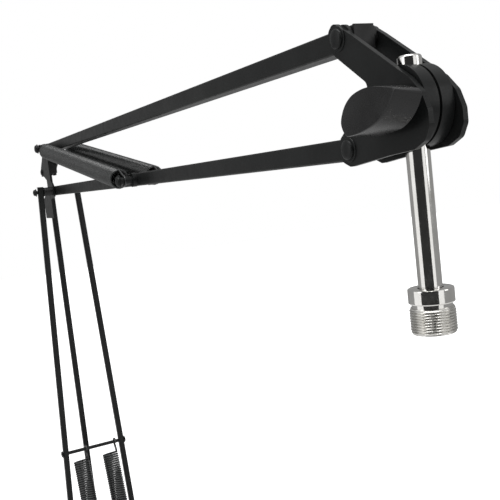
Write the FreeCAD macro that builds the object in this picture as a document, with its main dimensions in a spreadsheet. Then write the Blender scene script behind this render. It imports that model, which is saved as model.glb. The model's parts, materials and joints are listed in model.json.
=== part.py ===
# Spring-balanced microphone boom arm: desk clamp, swivelling base, sprung lower arm, levelling
# elbow, sprung upper arm, V-plate head, clamping hub with wing knob, and a chromed drop rod with
# a microphone thread. +X runs from the desk clamp towards the microphone, +Y across the arm,
# +Z up. The origin is on the desk top, under the swivel axis. Millimetres.
import FreeCAD, Part
import math
import os
import re

import Sketcher
from FreeCAD import Placement, Rotation, Vector

DIMS = {
    # arm geometry
    "lower_length": 430,
    "upper_length": 505,
    "link_gap": 40,
    "rear_pivot_back": 33,
    "rear_pivot_up": 19,
    "base_pivot_height": 72,
    "side_bar_top": 17,
    "side_bar_foot": 34.8,
    "running_gap": 0.05,
    "loose_gap": 0.3,
    # tubes and pins
    "upper_tube": 8.6,
    "lower_tube": 5,
    "tube_wall": 1,
    "tube_corner": 1,
    "pin_radius": 2.5,
    "slim_radius": 1.6,
    "slim_head": 3.2,
    "slim_head_height": 1.4,
    "plug_depth": 1.6,
    "plug_cap": 0.8,
    "washer_radius": 5,
    "nut_radius": 4,
    "nut_height": 3.2,
    # springs
    "spring_radius": 6.75,
    "spring_wire": 1.3,
    "spring_lead": 28,
    "upper_spring_side": 12.4,
    "anchor_along": 244,
    "lower_spring_radius": 7.6,
    "lower_spring_side": 14.2,
    "spring_rod_drop": 249,
    "base_spring_forward": 52,
    "base_spring_down": 6,
    # elbow bracket
    "elbow_face": 6.2,
    "elbow_thick": 1.5,
    "elbow_tail": 25.5,
    # head
    "head_plate_face": 8,
    "head_plate_thick": 2,
    "hub_forward": 29.3,
    "hub_rise": 11.6,
    "hub_radius": 14,
    "hub_half": 5.7,
    "hub_split": 0.5,
    "eye_radius": 6.4,
    "eye_wall": 1.6,
    "shank_radius": 3.5,
    "boss_radius": 4.5,
    # drop rod and thread
    "rod_radius": 4.15,
    "rod_above": 17,
    "collar_radius": 8,
    "collar_height": 5.2,
    "collar_drop": 66.9,
    "undercut_radius": 7,
    "undercut_height": 1.4,
    "thread_radius": 7.9375,
    "thread_length": 9.1,
    "thread_lead": 1,
    # wing knob
    "knob_face": 21,
    "knob_base": 9.3,
    "knob_hub_radius": 7,
    # base bracket and swivel
    "cheek_face": 29.5,
    "cheek_thick": 2,
    "floor_drop": 28,
    "floor_thick": 3,
    "spigot_radius": 6,
    "spigot_length": 25,
    "shoulder_radius": 12,
    "shoulder_height": 2.5,
    # desk clamp
    "clamp_width": 32,
    "clamp_plate": 6,
    "clamp_back": 38,
    "clamp_reach": 38,
    "clamp_drop": 70,
    "pad_thick": 2,
    "socket_radius": 11,
    "screw_radius": 5,
    "screw_forward": 6,
    "screw_open": 48,
    "screw_travel": 44,
    "boss_outer": 10,
    "boss_below": 8,
    "plate_radius": 15,
    "screw_head_radius": 8,
    "screw_head_height": 14,
    "tommy_radius": 3,
    "tommy_length": 76,
    "through": 100,
}

doc = FreeCAD.newDocument("BoomArm")
sheet = doc.addObject("Spreadsheet::Sheet", "Dims")
for row, (alias, value) in enumerate(DIMS.items(), start=1):
    sheet.set("A%d" % row, alias)
    sheet.set("B%d" % row, str(value))
    sheet.setAlias("B%d" % row, alias)
doc.recompute()

nodes = []


def fx(text):
    """Turn alias names into references to the sheet."""
    def reference(word):
        name = word.group(0)
        return "Dims." + name if name in DIMS else name

    return re.sub(r"[a-z_]{4,}", reference, text)


def val(text):
    """Value of an expression over the sheet's cells."""
    return float(sheet.evalExpression(fx(text)))


def bind(obj, prop, text):
    obj.setExpression(prop, fx(text))


def place(obj, at, rotation=Rotation()):
    obj.Placement = Placement(Vector(0, 0, 0), rotation)
    for axis, text in zip("xyz", at):
        bind(obj, "Placement.Base." + axis, text)
    return obj


def node(obj, label):
    """Register a finished sub-part under its own name."""
    obj.Label = label
    nodes.append(obj)
    return obj


PLANE_NORMAL = {
    "XZ_Plane": Vector(0, 1, 0),
    "YZ_Plane": Vector(1, 0, 0),
    "XY_Plane": Vector(0, 0, 1),
}
AXIS_TURN = {
    "x": Rotation(Vector(0, 1, 0), 90),
    "y": Rotation(Vector(1, 0, 0), -90),
    "z": Rotation(),
}


def cylinder(radius, length, at, axis="y"):
    """Cylinder that starts at a point and runs along +axis."""
    obj = doc.addObject("Part::Cylinder", "Cylinder")
    bind(obj, "Radius", radius)
    bind(obj, "Height", length)
    return place(obj, at, AXIS_TURN[axis])


def cone(foot, top, length, at, axis="y"):
    obj = doc.addObject("Part::Cone", "Cone")
    bind(obj, "Radius1", foot)
    bind(obj, "Radius2", top)
    bind(obj, "Height", length)
    return place(obj, at, AXIS_TURN[axis])


def box(size, at, rotation=Rotation()):
    obj = doc.addObject("Part::Box", "Box")
    for prop, text in zip(("Length", "Width", "Height"), size):
        bind(obj, prop, text)
    return place(obj, at, rotation)


def cut(base, *tools):
    for tool in tools:
        result = doc.addObject("Part::Cut", "Cut")
        result.Base = base
        result.Tool = tool
        base = result
    return base


def fuse(*shapes):
    result = doc.addObject("Part::MultiFuse", "Fuse")
    result.Shapes = list(shapes)
    result.Refine = True
    return result


def group(label, *shapes):
    """Identical loose pieces that share one node."""
    result = doc.addObject("Part::Compound", "Group")
    result.Links = list(shapes)
    return node(result, label)


def ring(outer, inner, length, at, axis="y"):
    return cut(cylinder(outer, length, at, axis), cylinder(inner, length, at, axis))


def edges_along(shape, direction):
    """Names of the straight edges that run along a direction."""
    names = []
    for index, edge in enumerate(shape.Edges, start=1):
        straight = isinstance(edge.Curve, Part.Line)
        if straight and abs(edge.tangentAt(edge.FirstParameter).dot(direction)) > 0.999:
            names.append("Edge%d" % index)
    return names


def outline(body, plane, points):
    """Closed polygon sketch whose corners are tied to the sheet."""
    sketch = body.newObject("Sketcher::SketchObject", "Outline")
    sketch.AttachmentSupport = ([f for f in body.Origin.OriginFeatures if f.Role == plane][0], [""])
    sketch.MapMode = "FlatFace"
    corners = [Vector(val(x), val(y), 0) for x, y in points]
    count = len(corners)
    for index in range(count):
        sketch.addGeometry(Part.LineSegment(corners[index], corners[(index + 1) % count]), False)
    for index in range(count):
        sketch.addConstraint(Sketcher.Constraint("Coincident", index, 2, (index + 1) % count, 1))
    for index, pair in enumerate(points):
        for kind, text, zero_line in (("DistanceX", pair[0], -2), ("DistanceY", pair[1], -1)):
            if text == "0":
                sketch.addConstraint(Sketcher.Constraint("PointOnObject", index, 1, zero_line))
                continue
            number = sketch.addConstraint(Sketcher.Constraint(kind, -1, 1, index, 1, val(text)))
            sketch.setExpression("Constraints[%d]" % number, fx(text))
    return sketch


def plate(points, thickness, at, plane="XZ_Plane", corner=None):
    """Flat piece padded both ways from its mid-plane, with rounded corners."""
    body = doc.addObject("PartDesign::Body", "Plate")
    pad = body.newObject("PartDesign::Pad", "Pad")
    pad.Profile = outline(body, plane, points)
    pad.SideType = "Symmetric"
    bind(pad, "Length", thickness)
    doc.recompute()
    if corner:
        normal = PLANE_NORMAL[plane]
        fillet = body.newObject("PartDesign::Fillet", "Fillet")
        fillet.Base = (pad, edges_along(pad.Shape, normal))
        bind(fillet, "Radius", corner)
        body.Tip = fillet
    return place(body, at)


def square_tube(width, length, at, rotation=Rotation()):
    """Square tube along its own X, centred on its axis, that starts at a point."""
    half = Vector(0, -val(width) / 2, -val(width) / 2)
    skin = doc.addObject("Part::Box", "Tube")
    bind(skin, "Length", length)
    bind(skin, "Width", width)
    bind(skin, "Height", width)
    skin.Placement = Placement(half, Rotation())
    doc.recompute()
    rounded = doc.addObject("Part::Fillet", "TubeRound")
    rounded.Base = skin
    radius = val("tube_corner")
    rounded.Edges = [(int(name[4:]), radius, radius) for name in edges_along(skin.Shape, Vector(1, 0, 0))]
    core = doc.addObject("Part::Box", "TubeCore")
    bind(core, "Length", length)
    bind(core, "Width", "%s - 2 * tube_wall" % width)
    bind(core, "Height", "%s - 2 * tube_wall" % width)
    inset = Vector(0, val("tube_wall"), val("tube_wall"))
    core.Placement = Placement(half + inset, Rotation())
    tube = cut(rounded, core)
    return place(tube, at, rotation)


def tube_plugs(width, length, at, rotation, label):
    """Plastic plugs that close both ends of a tube: a core inside it and a thin cap outside."""
    inner = "%s - 2 * tube_wall" % width
    plugs = []
    for cap_x, core_x in (("-plug_cap", "0"), (length, "%s - plug_depth" % length)):
        cap = box(("plug_cap", width, width), (cap_x, "-%s / 2" % width, "-%s / 2" % width))
        core = box(("plug_depth", inner, inner), (core_x, "-(%s) / 2" % inner, "-(%s) / 2" % inner))
        plugs.append(place(fuse(cap, core), at, rotation))
    return group(label, *plugs)


def through_hole(radius, x, z):
    """Tool that cuts a round hole right across the arm."""
    return cylinder(radius, "through", (x, "-through / 2", z))


def nut(x, y, z):
    """Hexagon nut on the far end of a cross bolt, with its threaded bore left plain."""
    prism = doc.addObject("Part::Prism", "Nut")
    prism.Polygon = 6
    bind(prism, "Circumradius", "nut_radius")
    bind(prism, "Height", "nut_height")
    return place(prism, (x, y, z), AXIS_TURN["y"])


def cross_pin(radius, half, at, near_head=None, far_head=None):
    """Pin across the arm with optional heads, each given as radius and height."""
    x, z = at
    parts = [cylinder(radius, "2 * (%s)" % half, (x, "-(%s)" % half, z))]
    if near_head:
        parts.append(cylinder(near_head[0], near_head[1], (x, "-(%s) - (%s)" % (half, near_head[1]), z)))
    if far_head:
        parts.append(cylinder(far_head[0], far_head[1], (x, half, z)))
    return fuse(*parts)


# --- heights and stations -------------------------------------------------------------------
BASE = "base_pivot_height"
ELBOW = "base_pivot_height + lower_length"
TOP = "base_pivot_height + lower_length + link_gap"
REAR = "-rear_pivot_back"
HEAD = "upper_length"
HUB_X = "upper_length + hub_forward"
HUB_Z = "base_pivot_height + lower_length + hub_rise"
DOWN = Rotation(Vector(0, 1, 0), 90)
PIN_HOLE = "pin_radius + running_gap"
LOOSE_HOLE = "pin_radius + loose_gap"
SLIM_HOLE = "slim_radius + running_gap"
SLIM_LOOSE_HOLE = "slim_radius + loose_gap"
SLIM_HEAD = ("slim_head", "slim_head_height")
UPPER_END = "upper_tube / 2 + 0.2"
LOWER_END = "lower_tube / 2 + 1.5"
SCREW_TOP = "-screw_open - pad_thick - 4.3"
SCREW_HEAD = "-clamp_drop - clamp_plate - boss_below - screw_travel - 2"


# --- desk clamp ------------------------------------------------------------------------------
def clamp_frame():
    top = "pad_thick"
    low = "-clamp_drop"
    points = [
        ("-clamp_back", "%s - clamp_plate" % low),
        ("screw_forward + boss_outer + 4", "%s - clamp_plate" % low),
        ("screw_forward + boss_outer + 4", low),
        ("-clamp_back + clamp_plate", low),
        ("-clamp_back + clamp_plate", top),
        ("clamp_reach", top),
        ("clamp_reach", "%s + clamp_plate" % top),
        ("-clamp_back", "%s + clamp_plate" % top),
    ]
    frame = plate(points, "clamp_width", ("0", "0", "0"), corner="1.5")
    boss_height = "clamp_plate + boss_below + 3"
    start = ("screw_forward", "0", "-clamp_drop - clamp_plate - boss_below")
    boss = cylinder("boss_outer", boss_height, start, "z")
    bore = cylinder("screw_radius + running_gap", boss_height, start, "z")
    socket_hole = cylinder("spigot_radius + 0.5", "clamp_plate + 2", ("0", "0", "pad_thick - 1"), "z")
    return node(cut(fuse(frame, boss), bore, socket_hole), "clamp_frame")


def clamp_socket():
    at = ("0", "0", "pad_thick + clamp_plate")
    height = "spigot_length + 1"
    sleeve = cylinder("socket_radius", height, at, "z")
    flange = cylinder("socket_radius + 3", "3", at, "z")
    bore = cylinder("spigot_radius + running_gap", height, at, "z")
    return node(cut(fuse(sleeve, flange), bore), "clamp_socket")


def jaw_pad():
    size = ("clamp_back - clamp_plate + clamp_reach - 4", "clamp_width - 2", "pad_thick")
    return node(box(size, ("-clamp_back + clamp_plate + 2", "1 - clamp_width / 2", "0")), "jaw_pad")


def pressure_foot():
    under_pad = "-screw_open - pad_thick"
    thick = "4"
    plate_foot = "%s - %s" % (under_pad, thick)
    disc = cylinder("plate_radius", thick, ("screw_forward", "0", plate_foot), "z")
    neck_at = ("screw_forward", "0", "%s - %s" % (plate_foot, thick))
    neck = ring("screw_radius + 3.5", "screw_radius - 1", thick, neck_at, "z")
    node(fuse(disc, neck), "pressure_plate")
    rubber = cylinder("plate_radius - 1", "pad_thick", ("screw_forward", "0", under_pad), "z")
    return node(rubber, "pressure_pad")


def clamp_screw():
    spigot_long = "4"
    spigot_foot = "%s - %s" % (SCREW_TOP, spigot_long)
    head_foot = "%s - screw_head_height" % SCREW_HEAD
    spigot = cylinder("screw_radius - 1.1", spigot_long, ("screw_forward", "0", spigot_foot), "z")
    shaft_long = "%s - (%s)" % (spigot_foot, SCREW_HEAD)
    shaft = cylinder("screw_radius", shaft_long, ("screw_forward", "0", SCREW_HEAD), "z")
    head = cylinder("screw_head_radius", "screw_head_height", ("screw_forward", "0", head_foot), "z")
    hole = through_hole("tommy_radius", "screw_forward", "%s + screw_head_height / 2" % head_foot)
    return node(cut(fuse(spigot, shaft, head), hole), "clamp_screw")


def tommy_bar():
    bar_z = "%s - screw_head_height / 2" % SCREW_HEAD
    bar = cylinder("tommy_radius", "tommy_length", ("screw_forward", "-tommy_length / 2", bar_z))
    node(bar, "tommy_bar")
    near = cylinder("tommy_radius + 2", "4", ("screw_forward", "-tommy_length / 2 - 4", bar_z))
    far = cylinder("tommy_radius + 2", "4", ("screw_forward", "tommy_length / 2", bar_z))
    return group("tommy_bar_knobs", near, far)


# --- swivelling base -------------------------------------------------------------------------
FLOOR = "base_pivot_height - floor_drop"


def base_bracket():
    floor_top = "-floor_drop + floor_thick"
    cheek = [
        ("-rear_pivot_back - 10", "-floor_drop"),
        ("base_spring_forward + 10", "-floor_drop"),
        ("base_spring_forward + 10", "4"),
        ("12", "10"),
        ("-rear_pivot_back + 14", "rear_pivot_up + 9"),
        ("-rear_pivot_back - 10", "rear_pivot_up + 9"),
    ]
    centre = "cheek_face - cheek_thick / 2"
    near = plate(cheek, "cheek_thick", ("0", "-(%s)" % centre, BASE), corner="5")
    far = plate(cheek, "cheek_thick", ("0", centre, BASE), corner="5")
    floor_size = ("rear_pivot_back + base_spring_forward + 8", "2 * cheek_face - 1", "floor_thick")
    floor = box(floor_size, ("-rear_pivot_back - 4", "0.5 - cheek_face", FLOOR))
    holes = [
        through_hole("slim_radius", "0", BASE),
        through_hole("slim_radius", REAR, "%s + rear_pivot_up" % BASE),
        through_hole("pin_radius", "base_spring_forward", "%s - base_spring_down" % BASE),
        cylinder("spigot_radius", "floor_thick", ("0", "0", FLOOR), "z"),
    ]
    return node(cut(fuse(near, far, floor), *holes), "base_bracket")


def base_spigot():
    foot = "pad_thick + clamp_plate + 1"
    shank = cylinder("spigot_radius", "%s + floor_thick - (%s)" % (FLOOR, foot), ("0", "0", foot), "z")
    shoulder = cylinder("shoulder_radius", "shoulder_height", ("0", "0", "%s - shoulder_height" % FLOOR), "z")
    rivet = cone("spigot_radius + 2", "spigot_radius - 1", "2", ("0", "0", "%s + floor_thick" % FLOOR), "z")
    return node(fuse(shank, shoulder, rivet), "base_spigot")


def swivel_washer():
    at = ("0", "0", "pad_thick + clamp_plate + spigot_length + 1.1")
    top = "%s - shoulder_height - 0.1" % FLOOR
    washer = ring("socket_radius", "spigot_radius + 0.3", "%s - (%s)" % (top, at[2]), at, "z")
    return node(washer, "swivel_washer")


def base_pins():
    reach = "side_bar_foot + lower_tube / 2 + 1.8"
    node(cross_pin("slim_radius", reach, ("0", BASE), ("nut_radius", "3")), "base_pivot_bolt")
    node(nut("0", reach, BASE), "base_pivot_nut")
    gap = "side_bar_foot - lower_tube / 2 - cheek_face - 0.4"
    near = ring("washer_radius", "slim_radius", gap, ("0", "-cheek_face - (%s)" % gap, BASE))
    far = ring("washer_radius", "slim_radius", gap, ("0", "cheek_face", BASE))
    group("base_pivot_washers", near, far)
    rear = (REAR, "%s + rear_pivot_up" % BASE)
    node(cross_pin("slim_radius", "cheek_face", rear, SLIM_HEAD, SLIM_HEAD), "base_link_pin")
    length = "cheek_face - cheek_thick - lower_tube / 2 - 0.4"
    near = ring("washer_radius - 1", "slim_radius", length, (rear[0], "-cheek_face + cheek_thick", rear[1]))
    far = ring("washer_radius - 1", "slim_radius", length, (rear[0], "lower_tube / 2 + 0.4", rear[1]))
    group("base_link_spacers", near, far)
    front = ("base_spring_forward", "%s - base_spring_down" % BASE)
    node(cross_pin("pin_radius", "cheek_face", front, ("4", "2"), ("4", "2")), "base_spring_rod")


# --- lower arm -------------------------------------------------------------------------------
def splay(side):
    """Turn that lays a tube from the elbow pivot down to the wider base pivot."""
    angle = math.degrees(math.atan2(val("side_bar_foot - side_bar_top"), val("lower_length")))
    return Rotation(Vector(1, 0, 0), side * angle).multiply(DOWN)


def lower_bar(side, label):
    length = "sqrt(lower_length^2 + (side_bar_foot - side_bar_top)^2) + 2 * (%s)" % LOWER_END
    slope = "(side_bar_foot - side_bar_top) / lower_length"
    top_y = "%d * (side_bar_top - (%s) * %s)" % (side, LOWER_END, slope)
    start = ("0", top_y, "%s + %s" % (ELBOW, LOWER_END))
    bar = square_tube("lower_tube", length, start, splay(side))
    tube_plugs("lower_tube", length, start, splay(side), label + "_plugs")
    holes = [
        through_hole(SLIM_HOLE, "0", BASE),
        through_hole(SLIM_HOLE, "0", ELBOW),
        through_hole("slim_radius", "0", "%s - spring_rod_drop" % ELBOW),
    ]
    return node(cut(bar, *holes), label)


def lower_spring_rod():
    spread = "side_bar_top + (side_bar_foot - side_bar_top) * spring_rod_drop / lower_length"
    reach = "%s + lower_tube / 2 + 0.5" % spread
    at = ("0", "%s - spring_rod_drop" % ELBOW)
    return node(cross_pin("slim_radius", reach, at, SLIM_HEAD, SLIM_HEAD), "lower_spring_rod")


def lower_link_bar():
    top = "%s + rear_pivot_up + %s" % (ELBOW, LOWER_END)
    length = "lower_length + 2 * (%s)" % LOWER_END
    bar = square_tube("lower_tube", length, (REAR, "0", top), DOWN)
    tube_plugs("lower_tube", length, (REAR, "0", top), DOWN, "lower_link_plugs")
    low_hole = through_hole(SLIM_HOLE, REAR, "%s + rear_pivot_up" % BASE)
    top_hole = through_hole(SLIM_LOOSE_HOLE, REAR, "%s + rear_pivot_up" % ELBOW)
    return node(cut(bar, low_hole, top_hole), "lower_link_bar")


# --- elbow -----------------------------------------------------------------------------------
def elbow_plates():
    rear_lobe = [
        ("-rear_pivot_back + 5", "rear_pivot_up - 4"), ("-rear_pivot_back - 4", "rear_pivot_up - 4"),
        ("-rear_pivot_back - 4", "rear_pivot_up + 3"), ("-22", "35"), ("-8", "link_gap + 4"),
        ("5", "link_gap + 4"), ("5", "link_gap - 5"),
    ]
    strap = [("-2", "28"), ("-2", "10"), ("5", "5"), ("5", "-5"), ("-9", "-8")]
    tail = [("-9", "-elbow_tail"), ("-rear_pivot_back - 8", "-elbow_tail"), ("-rear_pivot_back - 8", "-7")]
    neck = [("-15", "4"), ("-15", "10")]
    far_front = [("-22", "22")]
    spots = {"low": ("0", ELBOW), "top": ("0", TOP), "rear": (REAR, "%s + rear_pivot_up" % ELBOW)}
    radii = {"low": "slim_radius", "top": "pin_radius", "rear": "slim_radius"}
    for label, points, side, holes_at in (
        ("elbow_plate_near", rear_lobe + strap + tail + neck, -1, ("low", "top", "rear")),
        ("elbow_plate_far", rear_lobe + far_front, 1, ("top", "rear")),
    ):
        centre = "%d * (elbow_face - elbow_thick / 2)" % side
        body = plate(points, "elbow_thick", ("0", centre, ELBOW), corner="1.2")
        node(cut(body, *[through_hole(radii[key], *spots[key]) for key in holes_at]), label)


def elbow_pins():
    inner = "elbow_face - elbow_thick"
    web_at = ("-25", "-(%s)" % inner, "%s + 17" % ELBOW)
    node(box(("8", "2 * (%s)" % inner, "15"), web_at), "elbow_web")
    reach = "side_bar_top + lower_tube / 2 + 1.5"
    node(cross_pin("slim_radius", reach, ("0", ELBOW), ("3.6", "3")), "elbow_pivot_bolt")
    node(nut("0", reach, ELBOW), "elbow_pivot_nut")
    near_gap = "side_bar_top - lower_tube / 2 - elbow_face - 0.4"
    far_gap = "side_bar_top - lower_tube / 2 - upper_tube / 2 - 0.8"
    near = ring("washer_radius - 1", "slim_radius", near_gap, ("0", "-elbow_face - (%s)" % near_gap, ELBOW))
    far = ring("washer_radius - 1", "slim_radius", far_gap, ("0", "upper_tube / 2 + 0.4", ELBOW))
    group("elbow_pivot_spacers", near, far)
    spring_pin = cross_pin("pin_radius", "upper_spring_side + 1.8", ("0", TOP), ("4.4", "3"), ("4", "2"))
    node(spring_pin, "elbow_spring_pin")
    rear = (REAR, "%s + rear_pivot_up" % ELBOW)
    node(cross_pin("slim_radius", "elbow_face", rear, SLIM_HEAD, SLIM_HEAD), "elbow_link_pin")
    gap = "%s - lower_tube / 2 - 0.3" % inner
    near = ring("3.6", "slim_radius", gap, (rear[0], "-(%s)" % inner, rear[1]))
    far = ring("3.6", "slim_radius", gap, (rear[0], "lower_tube / 2 + 0.3", rear[1]))
    group("elbow_link_washers", near, far)


# --- upper arm -------------------------------------------------------------------------------
def upper_bar(level, hole_sizes, label):
    """Tube of the upper arm with its holes, given as station and radius."""
    length = "upper_length + 2 * (%s)" % UPPER_END
    start = ("-(%s)" % UPPER_END, "0", level)
    bar = square_tube("upper_tube", length, start)
    tube_plugs("upper_tube", length, start, Rotation(), label + "_plugs")
    node(cut(bar, *[through_hole(radius, station, level) for station, radius in hole_sizes]), label)


def upper_arm():
    low_holes = [("0", SLIM_HOLE), (HEAD, PIN_HOLE), ("anchor_along", "pin_radius")]
    upper_bar(ELBOW, low_holes, "upper_arm_lower_bar")
    upper_bar(TOP, [("0", PIN_HOLE), (HEAD, LOOSE_HOLE)], "upper_arm_top_bar")
    at = ("anchor_along", ELBOW)
    head = ("4.2", "2.5")
    node(cross_pin("pin_radius", "upper_spring_side + 3.2", at, head, head), "spring_anchor_pin")
    gap = "3"
    near = ring("4.6", "pin_radius", gap, (at[0], "-upper_tube / 2 - %s" % gap, at[1]))
    far = ring("4.6", "pin_radius", gap, (at[0], "upper_tube / 2", at[1]))
    group("spring_anchor_collars", near, far)


def spring_body(radius, start, end, clear_start, clear_end, side, label):
    """Closed coil envelope between two hooking pins, both given as x and z."""
    run = Vector(val(end[0]) - val(start[0]), 0, val(end[1]) - val(start[1]))
    unit = Vector(run).normalize()
    foot = Vector(val(start[0]), val(side), val(start[1])) + unit * val(clear_start)
    length = "%.6f - %s - %s" % (run.Length, clear_start, clear_end)
    coil = ring(radius, "%s - spring_wire" % radius, length, ("0", "0", "0"), "z")
    coil.Placement = Placement(foot, Rotation(Vector(0, 0, 1), unit))
    return node(coil, label)


def springs():
    upper_end = ("anchor_along", ELBOW)
    rod = ("0", "%s - spring_rod_drop" % ELBOW)
    front = ("base_spring_forward", "%s - base_spring_down" % BASE)
    for sign, name in ((-1, "near"), (1, "far")):
        side = "%d * upper_spring_side" % sign
        spring_body("spring_radius", ("0", TOP), upper_end, "spring_lead", "10", side, "upper_spring_" + name)
        side = "%d * lower_spring_side" % sign
        spring_body("lower_spring_radius", rod, front, "10", "14", side, "lower_spring_" + name)


# --- head ------------------------------------------------------------------------------------
def head_plates():
    points = [
        ("-6.3", "link_gap + 3.5"), ("-2.5", "link_gap + 6.2"), ("8", "40"), ("25", "29"), ("38.5", "20.2"),
        ("43.8", "15"), ("46.3", "9"), ("46.3", "4"), ("43.6", "-0.4"), ("38", "-2.8"), ("24", "-3.8"),
        ("0", "-6.3"), ("-5.6", "-4"),
        ("-5.6", "4"), ("-1", "7.2"), ("15", "9"), ("15", "22"), ("-2.5", "link_gap - 6.2"),
        ("-6.3", "link_gap - 3"),
    ]
    centre = "head_plate_face - head_plate_thick / 2"
    for label, side, hub_hole in (
        ("head_plate_near", -1, "shank_radius"),
        ("head_plate_far", 1, "boss_radius"),
    ):
        body = plate(points, "head_plate_thick", (HEAD, "%d * (%s)" % (side, centre), ELBOW), corner="3")
        holes = [
            through_hole("pin_radius", HEAD, ELBOW),
            through_hole("pin_radius", HEAD, TOP),
            through_hole("%s + running_gap" % hub_hole, HUB_X, HUB_Z),
        ]
        node(cut(body, *holes), label)


def head_pins():
    for label, level in (("head_pin_lower", ELBOW), ("head_pin_upper", TOP)):
        node(cross_pin("pin_radius", "head_plate_face", (HEAD, level), ("4.6", "2"), ("4.2", "1.4")), label)
    gap = "head_plate_face - head_plate_thick - upper_tube / 2 - 0.3"
    washers = []
    for level in (ELBOW, TOP):
        washers.append(ring("5", "pin_radius", gap, (HEAD, "-upper_tube / 2 - 0.3 - (%s)" % gap, level)))
        washers.append(ring("5", "pin_radius", gap, (HEAD, "upper_tube / 2 + 0.3", level)))
    group("head_washers", *washers)


# --- clamping hub, drop rod and knob ---------------------------------------------------------
def hub():
    """Split clamp drum whose eye bolt squeezes the drop rod when the wing knob is turned."""
    slot_at = (HUB_X, "0", "%s - hub_radius - 2" % HUB_Z)
    rod_way = ("rod_radius + running_gap", "2 * hub_radius + 4", slot_at, "z")
    eye_room = ("eye_radius", "2 * (hub_half - eye_wall)", (HUB_X, "-hub_half + eye_wall", HUB_Z))
    half_width = "hub_half - hub_split"
    shank_room = cylinder("shank_radius", "eye_wall", (HUB_X, "-hub_half", HUB_Z))
    near = cylinder("hub_radius", half_width, (HUB_X, "-hub_half", HUB_Z))
    node(cut(near, cylinder(*rod_way), cylinder(*eye_room), shank_room), "hub_disc_near")
    boss = cylinder("boss_radius", "head_plate_thick + 2.5", (HUB_X, "hub_half", HUB_Z))
    far = fuse(cylinder("hub_radius", half_width, (HUB_X, "hub_split", HUB_Z)), boss)
    node(cut(far, cylinder(*rod_way), cylinder(*eye_room)), "hub_disc_far")
    shank = cylinder("shank_radius", "knob_face - hub_half - 2", (HUB_X, "-knob_face + 4", HUB_Z))
    node(cut(fuse(cylinder(*eye_room), shank), cylinder(*rod_way)), "eye_bolt")
    washer_at = (HUB_X, "-head_plate_face - 1.1", HUB_Z)
    node(ring("boss_radius + 3", "shank_radius", "0.9", washer_at), "knob_washer")


def mic_rod():
    foot = "%s - collar_drop" % HUB_Z
    node(cylinder("rod_radius", "rod_above + collar_drop", (HUB_X, "0", foot), "z"), "mic_rod")
    neck_foot = "%s - undercut_height" % foot
    thread_foot = "%s - thread_length" % neck_foot
    collar = cylinder("collar_radius", "collar_height", (HUB_X, "0", foot), "z")
    neck = cylinder("undercut_radius", "undercut_height", (HUB_X, "0", neck_foot), "z")
    crests_at = (HUB_X, "0", "%s + thread_lead" % thread_foot)
    crests = cylinder("thread_radius", "thread_length - thread_lead", crests_at, "z")
    lead = cone("thread_radius - thread_lead", "thread_radius", "thread_lead", (HUB_X, "0", thread_foot), "z")
    bore = cylinder("rod_radius", "collar_height", (HUB_X, "0", foot), "z")
    node(cut(fuse(collar, neck, crests, lead), bore), "thread_adapter")


def wing_knob():
    """Egg-shaped paddle with a round boss, turned a little off level."""
    points = [
        ("-13.9", "-3"), ("-12", "-8"), ("-7", "-8.8"), ("2", "-8.6"), ("10.3", "-7.4"), ("18", "-2.4"),
        ("20.8", "2.2"), ("18.8", "5.2"), ("6", "7.8"), ("-7", "5.6"), ("-12.6", "1.4"),
    ]
    depth = "knob_face - knob_base - 2"
    paddle = plate(points, depth, (HUB_X, "-knob_face + (%s) / 2" % depth, HUB_Z), corner="2")
    boss = cylinder("knob_hub_radius", "3", (HUB_X, "-knob_base - 3", HUB_Z))
    bore = cylinder("shank_radius + running_gap", "knob_face", (HUB_X, "-knob_face + 3", HUB_Z))
    node(cut(fuse(paddle, boss), bore), "wing_knob")


def build():
    clamp_frame()
    clamp_socket()
    jaw_pad()
    pressure_foot()
    clamp_screw()
    tommy_bar()
    base_bracket()
    base_spigot()
    swivel_washer()
    base_pins()
    lower_bar(-1, "lower_bar_near")
    lower_bar(1, "lower_bar_far")
    lower_spring_rod()
    lower_link_bar()
    elbow_plates()
    elbow_pins()
    upper_arm()
    springs()
    head_plates()
    head_pins()
    hub()
    mic_rod()
    wing_knob()


def write():
    doc.recompute()
    for obj in doc.Objects:
        if "Invalid" in obj.State or "Error" in obj.State:
            raise RuntimeError("%s (%s) failed: %s" % (obj.Name, obj.Label, obj.State))
    for obj in nodes:
        if obj.Shape.isNull() or not obj.Shape.isValid():
            raise RuntimeError("%s has no valid shape" % obj.Label)
    os.makedirs("parts", exist_ok=True)
    for obj in nodes:
        obj.Shape.exportStep("parts/%s.step" % obj.Label)
        room = obj.Shape.BoundBox
        print("%-24s solids %d volume %9.1f  x %.1f..%.1f y %.1f..%.1f z %.1f..%.1f" % (
            obj.Label, len(obj.Shape.Solids), obj.Shape.Volume,
            room.XMin, room.XMax, room.YMin, room.YMax, room.ZMin, room.ZMax))


build()
write()
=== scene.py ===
import json
import math

import bpy
from mathutils import Matrix, Vector


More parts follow.
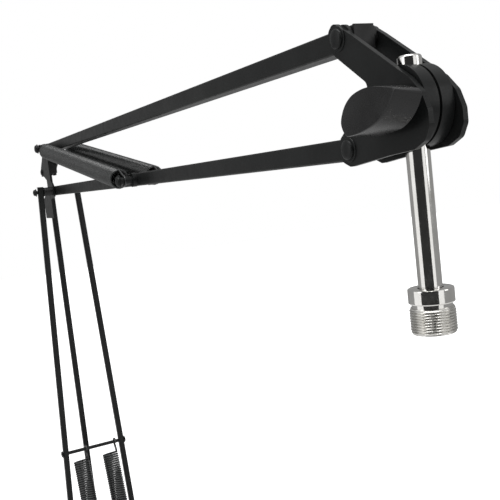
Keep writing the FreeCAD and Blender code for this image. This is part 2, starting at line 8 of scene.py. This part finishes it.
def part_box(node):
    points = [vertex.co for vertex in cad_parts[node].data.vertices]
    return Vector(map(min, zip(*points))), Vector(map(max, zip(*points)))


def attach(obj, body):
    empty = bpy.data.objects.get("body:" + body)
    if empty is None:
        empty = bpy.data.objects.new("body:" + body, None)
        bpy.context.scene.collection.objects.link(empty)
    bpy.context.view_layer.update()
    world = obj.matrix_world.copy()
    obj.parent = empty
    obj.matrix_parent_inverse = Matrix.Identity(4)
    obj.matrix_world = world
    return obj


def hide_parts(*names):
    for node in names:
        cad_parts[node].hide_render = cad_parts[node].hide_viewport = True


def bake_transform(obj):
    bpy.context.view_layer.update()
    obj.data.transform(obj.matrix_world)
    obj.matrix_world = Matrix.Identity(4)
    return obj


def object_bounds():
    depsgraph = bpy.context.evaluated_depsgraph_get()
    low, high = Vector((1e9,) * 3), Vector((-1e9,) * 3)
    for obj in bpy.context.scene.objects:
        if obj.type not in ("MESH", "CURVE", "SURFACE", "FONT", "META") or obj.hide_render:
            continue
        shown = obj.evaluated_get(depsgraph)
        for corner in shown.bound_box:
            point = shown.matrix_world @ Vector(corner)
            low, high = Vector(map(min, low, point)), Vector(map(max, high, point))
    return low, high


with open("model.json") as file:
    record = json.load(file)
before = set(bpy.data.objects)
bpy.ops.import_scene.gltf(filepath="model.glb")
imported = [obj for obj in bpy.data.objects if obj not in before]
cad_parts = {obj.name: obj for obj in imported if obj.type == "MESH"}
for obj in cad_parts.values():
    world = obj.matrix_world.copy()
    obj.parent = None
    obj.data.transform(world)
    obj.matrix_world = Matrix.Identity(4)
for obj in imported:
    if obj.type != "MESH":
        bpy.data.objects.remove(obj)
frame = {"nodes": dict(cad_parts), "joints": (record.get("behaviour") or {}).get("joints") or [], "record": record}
cad_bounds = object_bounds()

MM = 0.001
PIN = 2.5 * MM  # radius of the arm's thick cross pins
SLIM_PIN = 1.6 * MM  # radius of its bolts and thin rods
THREAD_PITCH = 25.4 / 27 * MM  # 27 turns per inch
SMALLEST = 0.01 * MM  # least radius of a turned profile
JOINTS = {joint["name"]: joint for joint in frame["joints"]}
SLOT_OF = {part["node"]: part["material_slot"] for part in frame["record"]["subparts"]}


def pivot(name):
    """A joint's centre at rest."""
    return Vector(JOINTS[name]["pos_m"])


def centre(node):
    low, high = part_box(node)
    return (low + high) / 2


def smoothstep(part):
    """0 to 1 with no slope at either end."""
    return part * part * (3 - 2 * part)


ELBOW = pivot("upper_arm_tilt")
ELBOW_TOP = pivot("upper_link_tilt")
HUB = pivot("hub_tilt")


# --- materials -------------------------------------------------------------------------------
class Nodes:
    """A small builder for one material's node tree."""

    def __init__(self, name):
        self.material = bpy.data.materials.new(name)
        self.material.use_nodes = True
        self.tree = self.material.node_tree
        self.shader = self.tree.nodes["Principled BSDF"]
        self.coordinates = self.tree.nodes.new("ShaderNodeTexCoord").outputs["Object"]

    def set(self, **values):
        for name, value in values.items():
            self.shader.inputs[name.replace("_", " ")].default_value = value

    def link(self, source, target):
        self.tree.links.new(source, target)

    def noise(self, scale, detail=3.0, roughness=0.55, stretch=(1, 1, 1)):
        mapping = self.tree.nodes.new("ShaderNodeMapping")
        mapping.inputs["Scale"].default_value = stretch
        self.link(self.coordinates, mapping.inputs["Vector"])
        node = self.tree.nodes.new("ShaderNodeTexNoise")
        node.inputs["Scale"].default_value = scale
        node.inputs["Detail"].default_value = detail
        node.inputs["Roughness"].default_value = roughness
        self.link(mapping.outputs["Vector"], node.inputs["Vector"])
        return node.outputs["Fac"]

    def ramp(self, source, stops):
        """Colour ramp over a value; each stop is a position and a grey or a colour."""
        node = self.tree.nodes.new("ShaderNodeValToRGB")
        elements = node.color_ramp.elements
        while len(elements) < len(stops):
            elements.new(0.5)
        for element, (position, value) in zip(elements, stops):
            element.position = position
            element.color = (*value, 1) if isinstance(value, tuple) else (value, value, value, 1)
        self.link(source, node.inputs["Fac"])
        return node.outputs["Color"]

    def bump(self, height, strength, distance, under=None):
        node = self.tree.nodes.new("ShaderNodeBump")
        node.inputs["Strength"].default_value = strength
        node.inputs["Distance"].default_value = distance
        self.link(height, node.inputs["Height"])
        if under is not None:
            self.link(under, node.inputs["Normal"])
        return node.outputs["Normal"]


def coated_steel(name, dark, light, rough, shine=0.2, grain=2400, peel=520):
    """Black powder coat: orange peel, fine grain and faint dust."""
    nodes = Nodes(name)
    cloud = nodes.noise(60, detail=5.0)
    colours = [(0.35, (dark, dark * 1.08, dark * 1.08)), (0.7, (light, light * 1.06, light * 1.06))]
    body = nodes.ramp(cloud, colours)
    nodes.link(body, nodes.shader.inputs["Base Color"])
    smear = nodes.noise(180, detail=4.0, roughness=0.6)
    gloss = nodes.ramp(smear, [(0.3, rough - 0.05), (0.72, rough + 0.07)])
    nodes.link(gloss, nodes.shader.inputs["Roughness"])
    fine = nodes.bump(nodes.noise(grain, detail=2.0), strength=0.22, distance=0.03 * MM)
    coarse = nodes.bump(nodes.noise(peel, detail=2.0), strength=0.25, distance=0.08 * MM, under=fine)
    nodes.link(coarse, nodes.shader.inputs["Normal"])
    nodes.set(Metallic=0.0, IOR=1.5, Specular_IOR_Level=shine)
    return nodes.material


def moulded_plastic(name, shade, rough, grain):
    """Moulded black plastic with a fine spark-eroded grain."""
    nodes = Nodes(name)
    tint = nodes.noise(90, detail=4.0)
    colours = [(0.3, (shade, shade, shade * 1.04)), (0.75, (shade * 1.5, shade * 1.5, shade * 1.56))]
    nodes.link(nodes.ramp(tint, colours), nodes.shader.inputs["Base Color"])
    smear = nodes.noise(240, detail=4.0)
    gloss = nodes.ramp(smear, [(0.3, rough - 0.06), (0.7, rough + 0.06)])
    nodes.link(gloss, nodes.shader.inputs["Roughness"])
    pits = nodes.bump(nodes.noise(grain, detail=2.0), strength=0.15, distance=0.03 * MM)
    nodes.link(pits, nodes.shader.inputs["Normal"])
    nodes.set(Metallic=0.0, IOR=1.5, Specular_IOR_Level=0.35)
    return nodes.material


def plated(name, colours, rough, streak):
    """Bright plating with polishing marks and faint haze."""
    nodes = Nodes(name)
    haze = nodes.noise(140, detail=5.0, roughness=0.6)
    nodes.link(nodes.ramp(haze, [(0.3, colours[0]), (0.75, colours[1])]), nodes.shader.inputs["Base Color"])
    smear = nodes.noise(260, detail=5.0, roughness=0.65)
    nodes.link(nodes.ramp(smear, [(0.35, rough), (0.75, rough * 2.2)]), nodes.shader.inputs["Roughness"])
    marks = nodes.bump(nodes.noise(900, roughness=0.6, stretch=streak), strength=0.12, distance=0.02 * MM)
    nodes.link(marks, nodes.shader.inputs["Normal"])
    nodes.set(Metallic=1.0)
    return nodes.material


def rubber(name):
    """Matt rubber with a fine pebbled face and a little bloom."""
    nodes = Nodes(name)
    bloom = nodes.noise(130, detail=5.0)
    nodes.link(nodes.ramp(bloom, [(0.3, (0.018, 0.018, 0.018)), (0.8, (0.05, 0.05, 0.052))]),
               nodes.shader.inputs["Base Color"])
    nodes.link(nodes.ramp(bloom, [(0.3, 0.78), (0.8, 0.9)]), nodes.shader.inputs["Roughness"])
    pebbles = nodes.bump(nodes.noise(1500, detail=2.0), strength=0.5, distance=0.1 * MM)
    nodes.link(pebbles, nodes.shader.inputs["Normal"])
    nodes.set(Metallic=0.0, IOR=1.52)
    return nodes.material


MATERIALS = {
    "black_steel": coated_steel("black_powder_coat", 0.008, 0.013, 0.34),
    "spring_steel": coated_steel("black_spring_wire", 0.014, 0.024, 0.3, 0.7, 4200, 1500),
    "black_plastic": moulded_plastic("black_plastic", 0.008, 0.46, 3200),
    "knob_plastic": moulded_plastic("knob_plastic", 0.007, 0.27, 1800),
    "chrome": plated("bright_chrome", ((0.74, 0.73, 0.70), (0.86, 0.85, 0.83)), 0.07, (1, 1, 0.08)),
    "thread_chrome": plated("threaded_chrome", ((0.60, 0.59, 0.56), (0.74, 0.73, 0.70)), 0.16, (1, 1, 4)),
    "zinc_steel": plated("bright_zinc", ((0.50, 0.51, 0.54), (0.62, 0.63, 0.65)), 0.2, (1, 1, 6)),
    "rubber": rubber("clamp_rubber"),
}


# --- mesh helpers ----------------------------------------------------------------------------
def add_mesh(name, vertices, faces, slot, body, smooth_angle=35):
    """A piece from plain lists, shaded smooth below an angle, that rides on a body."""
    mesh = bpy.data.meshes.new(name)
    mesh.from_pydata([tuple(v) for v in vertices], [], faces)
    mesh.validate()
    mesh.update()
    piece = bpy.data.objects.new(name, mesh)
    bpy.context.scene.collection.objects.link(piece)
    mesh.materials.append(MATERIALS[slot])
    mesh.shade_smooth()
    mesh.set_sharp_from_angle(angle=math.radians(smooth_angle))
    if body:
        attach(piece, body)
    return piece


def rings_to_faces(ring_count, sides):
    """Quads between rings of vertices that follow one another."""
    faces = []
    for ring in range(ring_count - 1):
        for side in range(sides):
            after = (side + 1) % sides
            low = ring * sides
            high = low + sides
            faces.append((low + side, low + after, high + after, high + side))
    return faces


def end_caps(ring_count, sides):
    """One face over the first ring and one over the last."""
    start = tuple(reversed(range(sides)))
    last = (ring_count - 1) * sides
    return [start, tuple(last + side for side in range(sides))]


def axis_frame(origin, direction):
    """Matrix whose +Z runs along a direction from an origin."""
    turn = Vector(direction).normalized().to_track_quat("Z", "Y").to_matrix().to_4x4()
    return Matrix.Translation(origin) @ turn


def lathe(profile, origin, direction, sides=64):
    """Closed solid of revolution from (along, radius) pairs."""
    place = axis_frame(origin, direction)
    vertices = []
    for along, radius in profile:
        radius = max(radius, SMALLEST)
        for side in range(sides):
            angle = 2 * math.pi * side / sides
            vertices.append(place @ Vector((radius * math.cos(angle), radius * math.sin(angle), along)))
    return vertices, rings_to_faces(len(profile), sides) + end_caps(len(profile), sides)


def join(*solids):
    """Several vertex and face lists as one."""
    vertices, faces = [], []
    for more_vertices, more_faces in solids:
        offset = len(vertices)
        vertices += more_vertices
        faces += [tuple(index + offset for index in face) for face in more_faces]
    return vertices, faces


def dome(radius, height, edge, steps=6):
    """Profile of a domed head on a thin rolled flange, from its rim up to its crown."""
    points = [(0.0, radius - edge * 0.4), (edge * 0.4, radius), (edge * 0.8, radius - edge * 0.3)]
    rim = height * 0.5
    radius *= 0.8
    points.append((edge, radius))
    for step in range(steps + 1):
        turn = math.pi / 2 * step / steps
        points.append((rim + (height - rim) * math.sin(turn), radius * math.cos(turn)))
    return points


def hexagon(corner_radius, height, origin, direction, sides=48):
    """Hexagon nut body whose corners are chamfered to a circle at both faces."""
    place = axis_frame(origin, direction)
    cut = 0.12 * corner_radius
    flat = corner_radius * math.cos(math.pi / 6)
    vertices = []
    for along, limit in ((0, flat), (cut, math.inf), (height - cut, math.inf), (height, flat)):
        for side in range(sides):
            angle = 2 * math.pi * side / sides
            local = (angle + math.pi / 6) % (math.pi / 3) - math.pi / 6
            radius = min(flat / math.cos(local), limit)
            vertices.append(place @ Vector((radius * math.cos(angle), radius * math.sin(angle), along)))
    return vertices, rings_to_faces(4, sides) + end_caps(4, sides)


def thread(major, depth, pitch, length, origin, direction, sides, steps):
    """Helical thread on a closed rod, with its first and last turn run out."""
    place = axis_frame(origin, direction)
    count = int(length / pitch * steps) + 1
    vertices = []
    for ring in range(count):
        along = length * ring / (count - 1)
        lead = min(1.0, min(along, length - along) / pitch)
        for side in range(sides):
            angle = 2 * math.pi * side / sides
            phase = (along / pitch - side / sides) % 1.0
            ridge = min(1.0, 1.25 * (1 - abs(2 * phase - 1)))
            radius = major - depth + depth * ridge * lead
            vertices.append(place @ Vector((radius * math.cos(angle), radius * math.sin(angle), along)))
    return vertices, rings_to_faces(count, sides) + end_caps(count, sides)


def sweep(path, radius, sides=8):
    """Round wire along a list of points, without twist."""
    vertices = []
    tangent = (path[1] - path[0]).normalized()
    normal = tangent.orthogonal().normalized()
    for index, point in enumerate(path):
        ahead = path[min(index + 1, len(path) - 1)]
        behind = path[max(index - 1, 0)]
        new_tangent = (ahead - behind).normalized()
        normal = (normal - new_tangent * normal.dot(new_tangent)).normalized()
        side_way = new_tangent.cross(normal)
        for side in range(sides):
            angle = 2 * math.pi * side / sides
            vertices.append(point + radius * (math.cos(angle) * normal + math.sin(angle) * side_way))
    return vertices, rings_to_faces(len(path), sides) + end_caps(len(path), sides)


def bevel(node, width, harden=True):
    """Rounds a CAD node's sharp edges for the light to catch."""
    modifier = frame["nodes"][node].modifiers.new("edge", "BEVEL")
    modifier.width = width
    modifier.segments = 2
    modifier.limit_method = "ANGLE"
    modifier.angle_limit = math.radians(40)
    modifier.harden_normals = harden


# --- fasteners -------------------------------------------------------------------------------
HEAD_FLANGE = 0.5 * MM


def cross_pin(node, body, near=None, far=None, shank_radius=PIN):
    """Pin across the arm with domed heads, given as radius and height."""
    low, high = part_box(node)
    middle = centre(node)
    start = low.y + (near[1] if near else 0)
    end = high.y - (far[1] if far else 0)
    edge = 0.4 * MM
    length = end - start
    shank_profile = [(0, shank_radius - edge), (edge, shank_radius), (length - edge, shank_radius),
                     (length, shank_radius - edge)]
    solids = [lathe(shank_profile, (middle.x, start, middle.z), (0, 1, 0), 32)]
    if near:
        solids.append(lathe(dome(*near, HEAD_FLANGE), (middle.x, start, middle.z), (0, -1, 0)))
    if far:
        solids.append(lathe(dome(*far, HEAD_FLANGE), (middle.x, end, middle.z), (0, 1, 0)))
    piece = add_mesh(node + "_turned", *join(*solids), SLOT_OF[node], body)
    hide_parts(node)


def hex_nut(node, body):
    """Hexagon nut with the rounded end of its bolt showing."""
    low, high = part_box(node)
    seat = Vector(((low.x + high.x) / 2, low.y, (low.z + high.z) / 2))
    height = high.y - low.y
    corner_radius = (high.x - low.x) / 2
    stub = [(0, SLIM_PIN), (height * 0.85, SLIM_PIN), (height * 0.95, SLIM_PIN * 0.8),
            (height, SLIM_PIN * 0.4)]
    prism = hexagon(corner_radius, height * 0.8, seat, (0, 1, 0))
    piece = add_mesh(node + "_hex", *join(prism, lathe(stub, seat, (0, 1, 0), 32)), SLOT_OF[node], body)
    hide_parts(node)


# --- springs ---------------------------------------------------------------------------------
HOOK_STEPS = 12
HOOK_TURN = math.radians(-210)  # how far a hook goes round its pin
LEG_STEPS = 8
TURN_STEPS = 20
WINDING = 1.04  # pitch of the closed coil, in wires


def spring_path(start, end, side, radius, wire, clear, give, quarters, pins):
    """Centre lines of a spring's first hook with its first turns, and of the rest of it.

    The coil ends some quarter turns on from where it begins, and its last hook leaves it there.
    """
    clear_start, clear_end = clear
    along = end - start
    length = along.length
    along.normalize()
    across = Vector((0, 1, 0))
    up = along.cross(across)
    first_hook, last_hook = [pin + wire / 2 + 0.1 * MM for pin in pins]
    mean = radius - wire / 2
    origin = Vector((start.x, side, start.z))

    def point(u, v, w):
        return origin + along * u + across * v + up * w

    path = []
    for step in range(HOOK_STEPS + 1):
        angle = math.radians(-60) + HOOK_TURN * step / HOOK_STEPS
        path.append(point(first_hook * math.cos(angle), 0, first_hook * math.sin(angle)))
    for step in range(1, LEG_STEPS + 1):
        part = step / LEG_STEPS
        height = first_hook + (mean - first_hook) * smoothstep(part)
        path.append(point(clear_start * part, 0, height))
    turns = int((length - clear_start - clear_end) / (wire * WINDING)) + quarters / 4
    pitch = (length - clear_start - clear_end) / turns
    last_side = mean * math.sin(math.pi / 2 * quarters)
    last_height = mean * math.cos(math.pi / 2 * quarters)
    split = len(path) + int(give / pitch) * TURN_STEPS
    for step in range(1, round(turns * TURN_STEPS) + 1):
        angle = 2 * math.pi * step / TURN_STEPS
        reach = clear_start + pitch * step / TURN_STEPS
        path.append(point(reach, mean * math.sin(angle), mean * math.cos(angle)))
    for step in range(1, LEG_STEPS + 1):
        part = step / LEG_STEPS
        height = last_height + (last_hook - last_height) * smoothstep(part)
        path.append(point(length - clear_end * (1 - part), last_side, height))
    for step in range(1, HOOK_STEPS + 1):
        angle = math.radians(90) + HOOK_TURN * step / HOOK_STEPS
        height = last_hook * math.sin(angle)
        path.append(point(length + last_hook * math.cos(angle), last_side, height))
    return path[:split], path[split - 1:]


def coil_spring(node, start, end, radius, wire, clear, give, quarters, pins, bodies):
    """Tension spring whose coil rides on its second body, with a first hook and first turns as a piece of their
    own.

    clear is the room each hook takes, give is the length of coil that goes into the first hook's piece,
    and pins are the radii of the pins that the hooks hold.
    """
    side = centre(node).y
    hook_path, coil_path = spring_path(start, end, side, radius, wire, clear, give, quarters, pins)
    coil = add_mesh(node + "_coil", *sweep(coil_path, wire / 2), SLOT_OF[node], bodies[1], 60)
    hook = add_mesh(node + "_hook", *sweep(hook_path, wire / 2), SLOT_OF[node], None, 60)
    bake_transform(hook)
    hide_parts(node)
    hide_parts(node)


def springs():
    anchor = centre("spring_anchor_pin")
    lower_rod = centre("lower_spring_rod")
    base_rod = centre("base_spring_rod")
    for side in ("near", "far"):
        coil_spring("upper_spring_" + side, ELBOW_TOP, anchor, radius=6.75 * MM, wire=1.3 * MM,
                    clear=(28 * MM, 10 * MM), give=30 * MM, quarters=0, pins=(PIN, PIN),
                    bodies=("elbow", "upper_arm"))
        coil_spring("lower_spring_" + side, base_rod, lower_rod, radius=7.6 * MM, wire=2 * MM,
                    clear=(40 * MM, 10 * MM), give=0, quarters=1, pins=(PIN, SLIM_PIN),
                    bodies=("base_swivel", "lower_arm"))


# --- drop rod, adapter and knob --------------------------------------------------------------
def drop_rod():
    """Plain plated rod with a rounded top."""
    low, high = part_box("mic_rod")
    radius = (high.x - low.x) / 2
    axis = (low.x + high.x) / 2
    length = high.z - low.z
    edge = 0.7 * MM
    profile = [(0, radius), (length - edge * 1.6, radius), (length - edge * 1.2, radius),
               (length - edge, radius), (length - edge * 0.3, radius - edge * 0.45),
               (length, radius - edge)]
    rod = add_mesh("mic_rod_turned", *lathe(profile, (axis, 0, low.z), (0, 0, 1), 96), "chrome", "mic_rod")
    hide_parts("mic_rod")


def thread_adapter():
    """Turned collar with a rolled ring round the rod, and the threaded spigot under it."""
    low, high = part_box("thread_adapter")
    foot = ((low.x + high.x) / 2, 0, low.z)
    up = (0, 0, 1)
    radius = (high.x - low.x) / 2
    height = high.z - low.z
    bore = 4.3 * MM
    thread_long = 9.1 * MM
    collar_foot = thread_long + 1.4 * MM
    edge = 0.35 * MM
    neck_radius = 7 * MM
    collar = [
        (collar_foot, neck_radius), (collar_foot, radius - edge),
        (collar_foot + edge * 0.4, radius - edge * 0.2), (collar_foot + edge, radius),
        (collar_foot + edge * 1.3, radius), (height - edge * 1.8, radius), (height - edge * 1.4, radius),
        (height - edge * 0.6, radius - edge * 0.25), (height, radius - edge * 1.4), (height, bore),
    ]
    neck = [(thread_long - 0.2 * MM, neck_radius), (collar_foot + 0.2 * MM, neck_radius)]
    ring = [(height - 0.6 * MM, bore), (height - 0.4 * MM, 4.8 * MM), (height - 0.1 * MM, 4.8 * MM),
            (height, 4.5 * MM)]
    solids = [lathe(part, foot, up, 96) for part in (collar, neck, ring)]
    turned = add_mesh("thread_adapter_turned", *join(*solids), "chrome", "mic_rod", 30)
    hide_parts("thread_adapter")
    turns = thread(radius - 0.06 * MM, 0.5 * MM, THREAD_PITCH, thread_long, foot, up, 96, 12)
    spigot = add_mesh("thread_adapter_spigot", *turns, "chrome", "mic_rod", 30)
    spigot.data.materials[0] = MATERIALS["thread_chrome"]
    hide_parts("thread_adapter")


# Outlines of the wing knob's face and foot from its axis, in millimetres.
KNOB_FRONT = [
    (18.1, 4.3), (17.4, 3.0), (14.2, -0.4), (8.8, -3.9), (0, -6.6), (-6.6, -7.5), (-11.2, -7.2),
    (-13.5, -3.2), (-11.6, 1.2), (-7, 5.0), (-0.5, 6.8), (5.5, 7.0), (13.2, 5.9), (17.2, 4.9),
]
KNOB_BACK = [
    (20.1, 2.6), (19.2, 0.8), (16.6, -2.4), (10.2, -6.6), (1.6, -8.1), (-6.8, -8.4), (-11.3, -7.8),
    (-13.3, -3.6), (-12.0, 0.8), (-7, 4.8), (0, 6.6), (6.5, 6.7), (15.0, 5.2), (19.2, 3.6),
]


def smooth_outline(corners, per_corner=8):
    """Closed spline through corner points, with tangents weighted by the spacing."""
    points = [Vector(corner) for corner in corners]
    count = len(points)
    chords = [points[(index + 1) % count] - points[index] for index in range(count)]
    tangents = []
    for behind, ahead in zip([chords[-1]] + chords[:-1], chords):
        share = behind.length / (behind.length + ahead.length)
        tangents.append(behind.normalized() * (1 - share) + ahead.normalized() * share)
    curve = []
    for index, (start, chord) in enumerate(zip(points, chords)):
        leave = tangents[index] * chord.length
        arrive = tangents[(index + 1) % count] * chord.length
        for step in range(per_corner):
            t = step / per_corner
            bend = leave * (t * (1 - t) ** 2) - arrive * (t * t * (1 - t))
            curve.append(start + chord * smoothstep(t) + bend)
    return curve


def wing_knob():
    """Egg-shaped paddle on a round boss, with a crisp rim round a flat face."""
    low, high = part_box("wing_knob")
    front = smooth_outline(KNOB_FRONT)
    back = smooth_outline(KNOB_BACK)
    boss_long = 2 * MM
    depth = high.y - low.y - boss_long
    # share of the depth, share of the front outline, size of the outline
    foot = [(0.0, 0.0, 0.45), (0.0, 0.0, 0.9), (0.03, 0.0, 0.97)]
    wall_steps = 8
    wall = [(0.08 + 0.84 * step / wall_steps, 0.96 * step / wall_steps, 1.0)
            for step in range(wall_steps + 1)]
    rim = [(0.965, 0.99, 0.995), (0.99, 1.0, 0.975), (1.0, 1.0, 0.94)]
    layers = foot + wall + rim
    vertices = []
    for level, share, size in layers:
        for back_point, front_point in zip(back, front):
            point = back_point.lerp(front_point, share) * size * MM
            vertices.append(Vector((HUB.x + point.x, high.y - boss_long - depth * level, HUB.z + point.y)))
    paddle = (vertices, rings_to_faces(len(layers), len(front)) + end_caps(len(layers), len(front)))
    boss = lathe([(0, 6.5 * MM), (0.4 * MM, 7 * MM), (3 * MM, 7 * MM)], (HUB.x, high.y, HUB.z), (0, -1, 0))
    piece = add_mesh("wing_knob_moulded", *join(paddle, boss), "knob_plastic", "wing_knob", 32)
    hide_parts("wing_knob")


# --- desk clamp ------------------------------------------------------------------------------
def clamp_screw():
    """Threaded screw with a round head below for its bar, and a plain tip above for the foot."""
    low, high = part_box("clamp_screw")
    axis = ((low.x + high.x) / 2, 0, low.z)
    head_radius = (high.x - low.x) / 2
    head_high = 14 * MM
    edge = 1.2 * MM
    head = [(0, head_radius - edge), (edge, head_radius), (head_high - edge, head_radius),
            (head_high, head_radius - edge)]
    spigot = [(high.z - low.z - 4.4 * MM, 3.9 * MM), (high.z - low.z - 0.4 * MM, 3.9 * MM),
              (high.z - low.z, 3.5 * MM)]
    long = high.z - low.z - head_high - 4 * MM
    turns = thread(5 * MM, 0.75 * MM, 2 * MM, long, (axis[0], 0, low.z + head_high), (0, 0, 1), 40, 8)
    solids = join(lathe(head, axis, (0, 0, 1)), lathe(spigot, axis, (0, 0, 1), 32), turns)
    piece = add_mesh("clamp_screw_threaded", *solids, "zinc_steel", "clamp_screw")
    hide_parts("clamp_screw")


# --- the whole object ------------------------------------------------------------------------
def fasteners():
    rivet = {"near": (4.6 * MM, 2 * MM), "far": (4.2 * MM, 1.4 * MM)}
    cross_pin("head_pin_lower", "head", **rivet)
    cross_pin("head_pin_upper", "head", **rivet)
    cross_pin("spring_anchor_pin", "upper_arm", near=(4.2 * MM, 2.5 * MM), far=(4.2 * MM, 2.5 * MM))
    cross_pin("elbow_spring_pin", "elbow", near=(4.4 * MM, 3 * MM), far=(4 * MM, 2 * MM))
    cross_pin("base_spring_rod", "base_swivel", near=(4 * MM, 2 * MM), far=(4 * MM, 2 * MM))
    cross_pin("elbow_pivot_bolt", "elbow", near=(3.6 * MM, 3 * MM), shank_radius=SLIM_PIN)
    cross_pin("base_pivot_bolt", "base_swivel", near=(5 * MM, 3 * MM), shank_radius=SLIM_PIN)
    small = (3.2 * MM, 1.4 * MM)
    for node, body in (
        ("elbow_link_pin", "elbow"),
        ("lower_spring_rod", "lower_arm"),
        ("base_link_pin", "base_swivel"),
    ):
        cross_pin(node, body, near=small, far=small, shank_radius=SLIM_PIN)
    hex_nut("elbow_pivot_nut", "elbow")
    hex_nut("base_pivot_nut", "base_swivel")


# Width of the rounded edges on the nodes that show as the CAD made them.
EDGES = (
    (0.35 * MM, ("head_plate_near", "head_plate_far", "elbow_plate_near", "elbow_plate_far", "elbow_web")),
    (0.6 * MM, ("clamp_frame", "base_bracket", "clamp_socket", "pressure_plate", "base_spigot")),
    (0.5 * MM, ("jaw_pad", "pressure_pad", "swivel_washer", "tommy_bar_knobs", "tommy_bar")),
    (0.25 * MM, [node for node in SLOT_OF if node.endswith(("_plugs", "_washers", "_spacers", "_collars"))]),
)
ROUND_EDGE = 0.3 * MM
ROUND_NODES = ("hub_disc_near", "hub_disc_far", "eye_bolt", "knob_washer")


def finish_cad_nodes():
    """Materials and rounded edges for the CAD nodes."""
    for node, piece in frame["nodes"].items():
        piece.data.materials.clear()
        piece.data.materials.append(MATERIALS[SLOT_OF[node]])
    for width, nodes in EDGES:
        for node in nodes:
            bevel(node, width)
    for node in ROUND_NODES:
        bevel(node, ROUND_EDGE, harden=False)


# --- stage, light and camera -----------------------------------------------------------------
def stage():
    """Plain pale floor under the object."""
    height = cad_bounds[0].z - 2 * MM
    reach = 6.0
    mesh = bpy.data.meshes.new("floor")
    corners = [(x * reach, y * reach, height) for x, y in ((-1, -1), (1, -1), (1, 1), (-1, 1))]
    mesh.from_pydata(corners, [], [(0, 1, 2, 3)])
    floor = bpy.data.objects.new("floor", mesh)
    bpy.context.scene.collection.objects.link(floor)
    pale = Nodes("pale_floor")
    pale.set(Base_Color=(0.5, 0.5, 0.5, 1), Roughness=0.9, Emission_Color=(1, 1, 1, 1), Emission_Strength=1.0)
    mesh.materials.append(pale.material)


# Walls of the light tent: where each starts and ends round the object, in degrees, and its glow.
TENT_WALLS = [
    (-180, -130, 0.3), (-130, -92, 1.0), (-90, -2, 0.015), (0, 26, 1.0), (26, 180, 0.3),
]
TENT_STEP = 5  # degrees from one post of the tent to the next
TENT_RADIUS = 2.2
TENT_TOP = 2.3
TENT_ROOF_GLOW = 0.6
TENT_GROUND_GLOW = 0.8


def tent_cloth(name, vertices, faces, glow):
    """Glowing cloth that the camera looks through, seen in reflections and lighting the object."""
    mesh = bpy.data.meshes.new(name)
    mesh.from_pydata(vertices, [], faces)
    cloth = Nodes(name)
    cloth.set(Base_Color=(0.02, 0.02, 0.02, 1), Roughness=1.0, Specular_IOR_Level=0.0,
              Emission_Color=(1, 1, 1, 1), Emission_Strength=glow)
    mesh.materials.append(cloth.material)
    panel = bpy.data.objects.new(name, mesh)
    panel.visible_camera = False
    bpy.context.scene.collection.objects.link(panel)


def tent_arc(start, end, height):
    """Points round the drop rod at one height."""
    steps = max(2, round((end - start) / TENT_STEP))
    arc = []
    for step in range(steps + 1):
        angle = math.radians(start + (end - start) * step / steps)
        arc.append((HUB.x + TENT_RADIUS * math.cos(angle), HUB.y + TENT_RADIUS * math.sin(angle), height))
    return arc


def light_tent():
    """Ring of cloth walls, a roof and a ground cloth that the bright metal reflects."""
    ground = cad_bounds[0].z - 1 * MM
    for number, (start, end, glow) in enumerate(TENT_WALLS):
        foot = tent_arc(start, end, ground)
        count = len(foot)
        faces = [(index, index + 1, count + index + 1, count + index) for index in range(count - 1)]
        tent_cloth("tent_wall_%d" % number, foot + tent_arc(start, end, TENT_TOP), faces, glow)
    for name, height, glow in (
        ("tent_roof", TENT_TOP, TENT_ROOF_GLOW),
        ("tent_ground", ground, TENT_GROUND_GLOW),
    ):
        rim = tent_arc(-180, 180 - TENT_STEP, height)
        tent_cloth(name, rim, [tuple(range(len(rim)))], glow)


def area_light(name, location, size, power):
    """Rectangular light that faces the drop rod's hub."""
    data = bpy.data.lights.new(name, "AREA")
    data.shape = "RECTANGLE"
    data.size, data.size_y = size
    data.energy = power
    light = bpy.data.objects.new(name, data)
    light.location = location
    light.rotation_mode = "QUATERNION"
    light.rotation_quaternion = (HUB - location).to_track_quat("-Z", "Y")
    bpy.context.scene.collection.objects.link(light)


def lights():
    world = bpy.data.worlds.new("studio")
    world.use_nodes = True
    background = world.node_tree.nodes["Background"]
    background.inputs["Color"].default_value = (1, 1, 1, 1)
    background.inputs["Strength"].default_value = 1.0
    bpy.context.scene.world = world
    area_light("overhead", HUB + Vector((0.1, -0.2, 1.4)), (1.2, 0.9), 18)
    area_light("left", HUB + Vector((-0.1, -1.3, 0.5)), (0.5, 1.0), 2)
    area_light("right", HUB + Vector((1.0, 0.9, 0.4)), (0.5, 1.0), 2.5)
    bpy.context.scene.view_settings.view_transform = "Standard"


CAMERA_TURN = (154.26, -5.475, -6.54)  # heading, pitch and roll in degrees
CAMERA_FROM_ELBOW = Vector((752.1, -171.8, -4.3)) * MM
CAMERA_LENS = 57.41
CAMERA_SENSOR = 36


def camera():
    """Three-quarter view from in front of the drop rod, looking slightly down, a little rolled."""
    heading, pitch, roll = [math.radians(turn) for turn in CAMERA_TURN]
    run = math.cos(pitch)
    ahead = Vector((math.cos(heading) * run, math.sin(heading) * run, math.sin(pitch)))
    level = ahead.cross(Vector((0, 0, 1))).normalized()
    upright = level.cross(ahead)
    right = level * math.cos(roll) + upright * math.sin(roll)
    up = right.cross(ahead)
    data = bpy.data.cameras.new("camera")
    data.lens = CAMERA_LENS
    data.sensor_width = CAMERA_SENSOR
    view = bpy.data.objects.new("camera", data)
    matrix = Matrix((right, up, -ahead)).transposed().to_4x4()
    matrix.translation = ELBOW + CAMERA_FROM_ELBOW
    view.matrix_world = matrix
    bpy.context.scene.collection.objects.link(view)
    bpy.context.scene.camera = view


camera()
finish_cad_nodes()
fasteners()
springs()
drop_rod()
thread_adapter()
wing_knob()
clamp_screw()
stage()
light_tent()
lights()
